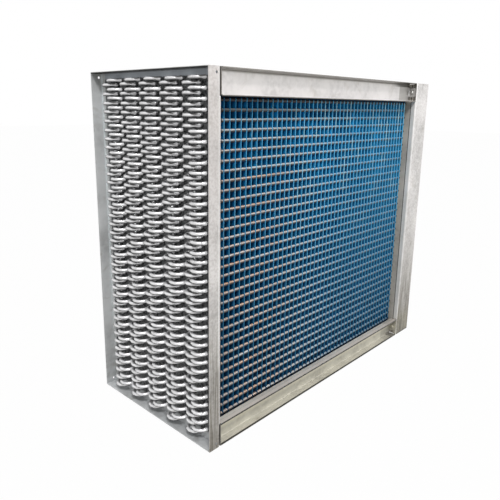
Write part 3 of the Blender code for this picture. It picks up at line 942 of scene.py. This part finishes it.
def trayMesh():
    sheet = casing["sheet"]
    bm = bmesh.new()
    bmesh.ops.create_cube(bm, size=1.0)
    width = casing["leftWeb"] - casing["leftEdge"]
    depth = casing["back"] - casing["front"]
    bmesh.ops.scale(bm, verts=bm.verts, vec=(width, depth, casing["height"]))
    middle = (casing["leftWeb"] + casing["leftEdge"]) / 2
    bmesh.ops.translate(bm, verts=bm.verts, vec=(middle, 0, casing["height"] / 2))
    openFace = [face for face in bm.faces if face.calc_center_median().x < casing["leftEdge"] + sheet]
    bmesh.ops.inset_region(bm, faces=openFace, thickness=sheet, use_even_offset=True)
    result = bmesh.ops.extrude_face_region(bm, geom=openFace)
    floor = [item for item in result["geom"] if isinstance(item, bmesh.types.BMVert)]
    bmesh.ops.translate(bm, verts=floor, vec=(width - sheet, 0, 0))
    bmesh.ops.delete(bm, geom=openFace, context="FACES_ONLY")
    folds = [
        edge for edge in bm.edges
        if all(abs(vert.co.x - casing["leftWeb"]) < sheet / 2 for vert in edge.verts)
    ]
    bmesh.ops.bevel(
        bm, geom=folds, offset=tray["foldRadius"], offset_type="OFFSET", affect="EDGES",
        segments=tray["foldSteps"], profile=0.5, material=-1,
    )
    bmesh.ops.recalc_face_normals(bm, faces=bm.faces)
    return meshFrom("leftEndPlate", bm)


def cutHoles(piece, centres, radius):
    # round holes along Y through both flanges
    bm = bmesh.new()
    for x, y, z in centres:
        turn = Matrix.Translation((x, y, z)) @ Matrix.Rotation(math.pi / 2, 4, "X")
        bmesh.ops.create_cone(
            bm, cap_ends=True, segments=tray["holeSides"], radius1=radius, radius2=radius,
            depth=tray["cutterLength"], matrix=turn,
        )
    cutter = bpy.data.objects.new("holeCutter", meshFrom("holeCutter", bm))
    bpy.context.scene.collection.objects.link(cutter)
    cut = piece.modifiers.new("holes", "BOOLEAN")
    cut.operation = "DIFFERENCE"
    cut.solver = "EXACT"
    cut.object = cutter
    graph = bpy.context.evaluated_depsgraph_get()
    finished = bpy.data.meshes.new_from_object(piece.evaluated_get(graph))
    piece.modifiers.clear()
    piece.data = finished
    bpy.data.objects.remove(cutter)


leftPlate = newPiece("leftEndPlate", trayMesh(), leftPlateSheet)
holeX = casing["leftWeb"] - tray["holeFromWeb"]
cutHoles(leftPlate, [
    (holeX, y, z)
    for y in (casing["front"], casing["back"])
    for z in (tray["holeFromEdge"], casing["height"] - tray["holeFromEdge"])
], tray["holeRadius"])
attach(leftPlate, "root")
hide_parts("end_plate_left")
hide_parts("end_plate_left")
print("left end plate ready")


# fins and tubes

fins = {
    "count": 48,
    "pitch": 0.0206,
    "firstGap": 0.028,
    "thickness": 0.0003,
    "ridges": 160,
    "ridgeDepth": 0.0010,
}


def finMesh():
    depth = (pack["rows"] - 1) * pack["rowPitch"] + 2 * pack["edgeToRow"]
    height = pack["top"] - pack["bottom"]
    bm = bmesh.new()
    bmesh.ops.create_grid(bm, x_segments=fins["ridges"], y_segments=1, size=0.5)
    bmesh.ops.rotate(bm, verts=bm.verts, cent=(0, 0, 0), matrix=Matrix.Rotation(math.pi / 2, 3, "X"))
    bmesh.ops.rotate(bm, verts=bm.verts, cent=(0, 0, 0), matrix=Matrix.Rotation(math.pi / 2, 3, "Z"))
    bmesh.ops.scale(bm, verts=bm.verts, vec=(1, depth, height))
    bmesh.ops.translate(bm, verts=bm.verts, vec=(0, 0, (pack["top"] + pack["bottom"]) / 2))
    step = depth / fins["ridges"]
    crests = [vert for vert in bm.verts if round((vert.co.y + depth / 2) / step) % 2 == 0]
    bmesh.ops.translate(bm, verts=crests, vec=(fins["ridgeDepth"], 0, 0))
    return meshFrom("finShape", bm)


finPack = newPiece("finPack", finMesh(), finBlue)
finPack.data.transform(Matrix.Translation((casing["leftWeb"] + fins["firstGap"], 0, 0)))
thicken = finPack.modifiers.new("thickness", "SOLIDIFY")
thicken.thickness = fins["thickness"]
thicken.offset = 0.0
row = finPack.modifiers.new("fins", "ARRAY")
row.count = fins["count"]
row.use_relative_offset = False
row.use_constant_offset = True
row.constant_offset_displace = (fins["pitch"], 0, 0)
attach(finPack, "root")
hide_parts("fin_pack")

tubes = {"sides": 8, "endGap": 0.0004}
tubeLength = casing["rightWeb"] - casing["leftWeb"] - 2 * tubes["endGap"]
tubeSource = tubeMesh("tubeShape", tubeLength, pack["tubeRadius"], tubes["sides"])
tubeMiddle = (casing["rightWeb"] + casing["leftWeb"]) / 2
tubeBank = newPiece(
    "tubeBank",
    meshFrom("tubeBank", stampCopies(tubeSource, [
        Matrix.Translation((tubeMiddle, rowY(row), levelZ(level, row)))
        for row in range(pack["rows"]) for level in range(pack["levels"])
    ])),
    finTube, smooth=True,
)
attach(tubeBank, "root")
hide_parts("fin_pack")
print("fins and tubes ready")


# feeders between the right web and the headers

feeders = {"headerFromWeb": 0.058, "headerRadius": 0.030, "bite": 0.001}
headerDepth = math.sqrt(feeders["headerRadius"] ** 2 - (pack["rowPitch"] / 2) ** 2)
feederReach = casing["rightWeb"] + feeders["headerFromWeb"] - headerDepth + feeders["bite"]
feederSource = tubeMesh("feederShape", feederReach - rightFace, pack["tubeRadius"], tubes["sides"])
headerFeeders = newPiece(
    "headerFeeders",
    meshFrom("headerFeeders", stampCopies(feederSource, [
        Matrix.Translation(((feederReach + rightFace) / 2, rowY(row), levelZ(level, row)))
        for row in (0, 1, pack["rows"] - 2, pack["rows"] - 1) for level in range(pack["levels"])
    ])),
    headerCopper, smooth=True,
)
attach(headerFeeders, "root")


# pipe threads on the two connections

thread = {
    "pitch": 0.0023,
    "turns": 9,
    "root": 0.0241,
    "crest": 0.0249,
    "fromEnd": 0.0015,
    "segments": 40,
    "places": ((-0.198, 0.890), (0.198, 0.110)),
}


def threadMesh():
    # a zigzag beside the pipe's wall, turned once round each connection
    bm = bmesh.new()
    end = cadBounds[1][0] - thread["fromEnd"]
    for y, z in thread["places"]:
        points = []
        for step in range(2 * thread["turns"] + 1):
            radius = thread["crest"] if step % 2 else thread["root"]
            points.append(bm.verts.new((end - step * thread["pitch"] / 2, y, z + radius)))
        edges = [bm.edges.new(pair) for pair in zip(points, points[1:])]
        bmesh.ops.spin(
            bm, geom=points + edges, cent=(end, y, z), axis=(1, 0, 0), angle=2 * math.pi,
            steps=thread["segments"], use_merge=True, use_duplicate=False,
        )
    bmesh.ops.recalc_face_normals(bm, faces=bm.faces)
    return meshFrom("connectionThreads", bm)


connectionThreads = newPiece("connectionThreads", threadMesh(), headerCopper)
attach(connectionThreads, "root")


# narrow dark lips of painted shade that close the gaps between rails and end plates: uprights and a flat
# strip at their foot

gapShadeLip = {
    "fromWeb": 0.0022,
    "thickness": 0.0030,
    "fromFront": 0.0006,
    "depth": 0.008,
    "inset": 0.0024,
    "stripDepth": 0.027,
    "stripHeight": 0.0016,
    "stripInset": 0.0002,
}


def gapShadeLipMesh():
    bm = bmesh.new()
    x = gapShadeLip["fromWeb"] + gapShadeLip["thickness"] / 2
    upright = (gapShadeLip["depth"], casing["railHeight"] - 2 * gapShadeLip["inset"], casing["railHeight"] / 2)
    stripMiddle = gapShadeLip["stripInset"] + gapShadeLip["stripHeight"] / 2
    strip = (gapShadeLip["stripDepth"], gapShadeLip["stripHeight"], stripMiddle)
    for placeX in (casing["leftWeb"] + x, casing["rightWeb"] - x):
        for depth, height, z in (upright, strip):
            y = casing["front"] + gapShadeLip["fromFront"] + depth / 2
            size = (gapShadeLip["thickness"], depth, height)
            for placeY in (y, -y):
                for placeZ in (z, casing["height"] - z):
                    place = (placeX, placeY, placeZ)
                    bmesh.ops.create_cube(bm, size=1.0, matrix=Matrix.LocRotScale(place, None, size))
    return meshFrom("gapShadeLips", bm)


gapShadeLips = newPiece("gapShadeLips", gapShadeLipMesh(), gapShadeSheet)
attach(gapShadeLips, "root")


# materials of the nodes that stay

nodeMaterials = {
    "end_plate_right": rightPlateSheet,
    "edge_strip_front_right": stripSheet,
    "edge_strip_rear_right": stripSheet,
    "top_rail_front": topRailSheet,
    "top_rail_rear": topRailSheet,
    "bottom_rail_front": bottomRailSheet,
    "bottom_rail_rear": bottomRailSheet,
    "rail_screw_bottom_front_left": bottomRailSheet,
    "rail_screw_bottom_front_right": bottomRailSheet,
    "rail_screw_bottom_rear_left": bottomRailSheet,
    "rail_screw_bottom_rear_right": bottomRailSheet,
}
slotMaterials = {
    "galvanised_sheet": plainSheet,
    "header_copper": headerCopper,
    "plug_brass": plugBrass,
    "zinc_screw": screwZinc,
    "blue_fin_coating": finBlue,
}
for entry in frame["record"]["subparts"]:
    node = frame["nodes"][entry["node"]]
    node.data.materials.clear()
    node.data.materials.append(nodeMaterials.get(entry["node"], slotMaterials[entry["material_slot"]]))
print("frame nodes dressed")


# camera, floor and light

view = {
    "place": (-1.41857, -1.14720, 0.91130),
    "yaw": 46.7422,
    "pitch": 13.1992,
    "roll": 0.7647,
    "lens": 37.193,
    "sensor": 36.0,
    "shiftX": 0.01106,
    "shiftY": -0.04636,
}


def placeCamera():
    yaw, pitch, roll = (math.radians(view[key]) for key in ("yaw", "pitch", "roll"))
    level = Vector((math.sin(yaw), math.cos(yaw), 0.0)) * math.cos(pitch)
    forward = level - Vector((0.0, 0.0, math.sin(pitch)))
    right = Vector((math.cos(yaw), -math.sin(yaw), 0.0))
    up = right.cross(forward)
    rolledRight = right * math.cos(roll) + up * math.sin(roll)
    rolledUp = up * math.cos(roll) - right * math.sin(roll)
    turn = Matrix((rolledRight, rolledUp, -forward)).transposed()
    data = bpy.data.cameras.new("photoView")
    data.lens = view["lens"]
    data.shift_x = view["shiftX"]
    data.shift_y = view["shiftY"]
    data.sensor_width = view["sensor"]
    camera = bpy.data.objects.new("photoView", data)
    camera.matrix_world = Matrix.Translation(view["place"]) @ turn.to_4x4()
    bpy.context.scene.collection.objects.link(camera)
    bpy.context.scene.camera = camera


stageLook = {
    "floorSize": 40.0,
    "floorColour": (0.45, 0.43, 0.38, 1.0),
    "floorRoughness": 0.9,
    "floorWhite": 0.985,
    "floorDrop": 0.0005,
    "softLight": 0.42,
}
lamps = {
    "topPanel": {
        "place": (-0.8, -0.8, 3.4), "target": (0.0, 0.0, 0.5),
        "size": (3.2, 3.2), "power": 44.0, "gloss": 1.0,
    },
    "keyPanel": {
        "place": (-2.2, -2.6, 4.0), "target": (0.0, 0.0, 0.5),
        "size": (0.7, 0.7), "power": 110.0, "gloss": 0.25,
    },
    "frontPanel": {
        "place": (1.6, -3.4, 1.8), "target": (0.1, 0.0, 0.5),
        "size": (2.4, 1.8), "power": 43.0, "gloss": 0.5,
    },
}


def backgroundRays(tree):
    # 1 on what the camera, a mirror or glass sees, 0 on what lights the object
    rays = addNode(tree, "ShaderNodeLightPath")
    seen = addNode(tree, "ShaderNodeMath", operation="MAXIMUM")
    link(tree, rays.outputs["Is Camera Ray"], seen.inputs[0])
    link(tree, rays.outputs["Is Glossy Ray"], seen.inputs[1])
    passed = addNode(tree, "ShaderNodeMath", operation="MAXIMUM")
    link(tree, seen.outputs["Value"], passed.inputs[0])
    link(tree, rays.outputs["Is Transmission Ray"], passed.inputs[1])
    return passed.outputs["Value"]


def makeFloor():
    bm = bmesh.new()
    bmesh.ops.create_grid(bm, x_segments=1, y_segments=1, size=stageLook["floorSize"] / 2)
    material = bpy.data.materials.new("paleFloor")
    material.use_nodes = True
    tree = material.node_tree
    shader = tree.nodes["Principled BSDF"]
    shader.inputs["Base Color"].default_value = stageLook["floorColour"]
    shader.inputs["Roughness"].default_value = stageLook["floorRoughness"]
    shader.inputs["Specular IOR Level"].default_value = 0.0
    glow = addNode(tree, "ShaderNodeEmission")
    mix = addNode(tree, "ShaderNodeMixShader")
    link(tree, product(tree, backgroundRays(tree), stageLook["floorWhite"]), mix.inputs["Fac"])
    link(tree, shader.outputs["BSDF"], mix.inputs[1])
    link(tree, glow.outputs["Emission"], mix.inputs[2])
    link(tree, mix.outputs["Shader"], tree.nodes["Material Output"].inputs["Surface"])
    floor = newPiece("paleFloor", meshFrom("paleFloor", bm), material)
    floor.location.z = -stageLook["floorDrop"]


def makeWorld():
    world = bpy.data.worlds.new("softWhite")
    world.use_nodes = True
    tree = world.node_tree
    soft = tree.nodes["Background"]
    soft.inputs["Color"].default_value = (1.0, 1.0, 1.0, 1.0)
    soft.inputs["Strength"].default_value = stageLook["softLight"]
    seen = addNode(tree, "ShaderNodeBackground")
    seen.inputs["Color"].default_value = (1.0, 1.0, 1.0, 1.0)
    mix = addNode(tree, "ShaderNodeMixShader")
    link(tree, backgroundRays(tree), mix.inputs["Fac"])
    link(tree, soft.outputs["Background"], mix.inputs[1])
    link(tree, seen.outputs["Background"], mix.inputs[2])
    link(tree, mix.outputs["Shader"], tree.nodes["World Output"].inputs["Surface"])
    bpy.context.scene.world = world


def addLamp(name, place, target, size, power, gloss):
    data = bpy.data.lights.new(name, "AREA")
    data.shape = "RECTANGLE"
    data.size, data.size_y = size
    data.energy = power
    data.specular_factor = gloss
    lamp = bpy.data.objects.new(name, data)
    lamp.location = place
    lamp.rotation_euler = (Vector(target) - Vector(place)).to_track_quat("-Z", "Y").to_euler()
    bpy.context.scene.collection.objects.link(lamp)


placeCamera()
makeFloor()
makeWorld()
for name, lamp in lamps.items():
    addLamp(name, **lamp)
bpy.context.scene.view_settings.view_transform = "Standard"
print("stage ready")
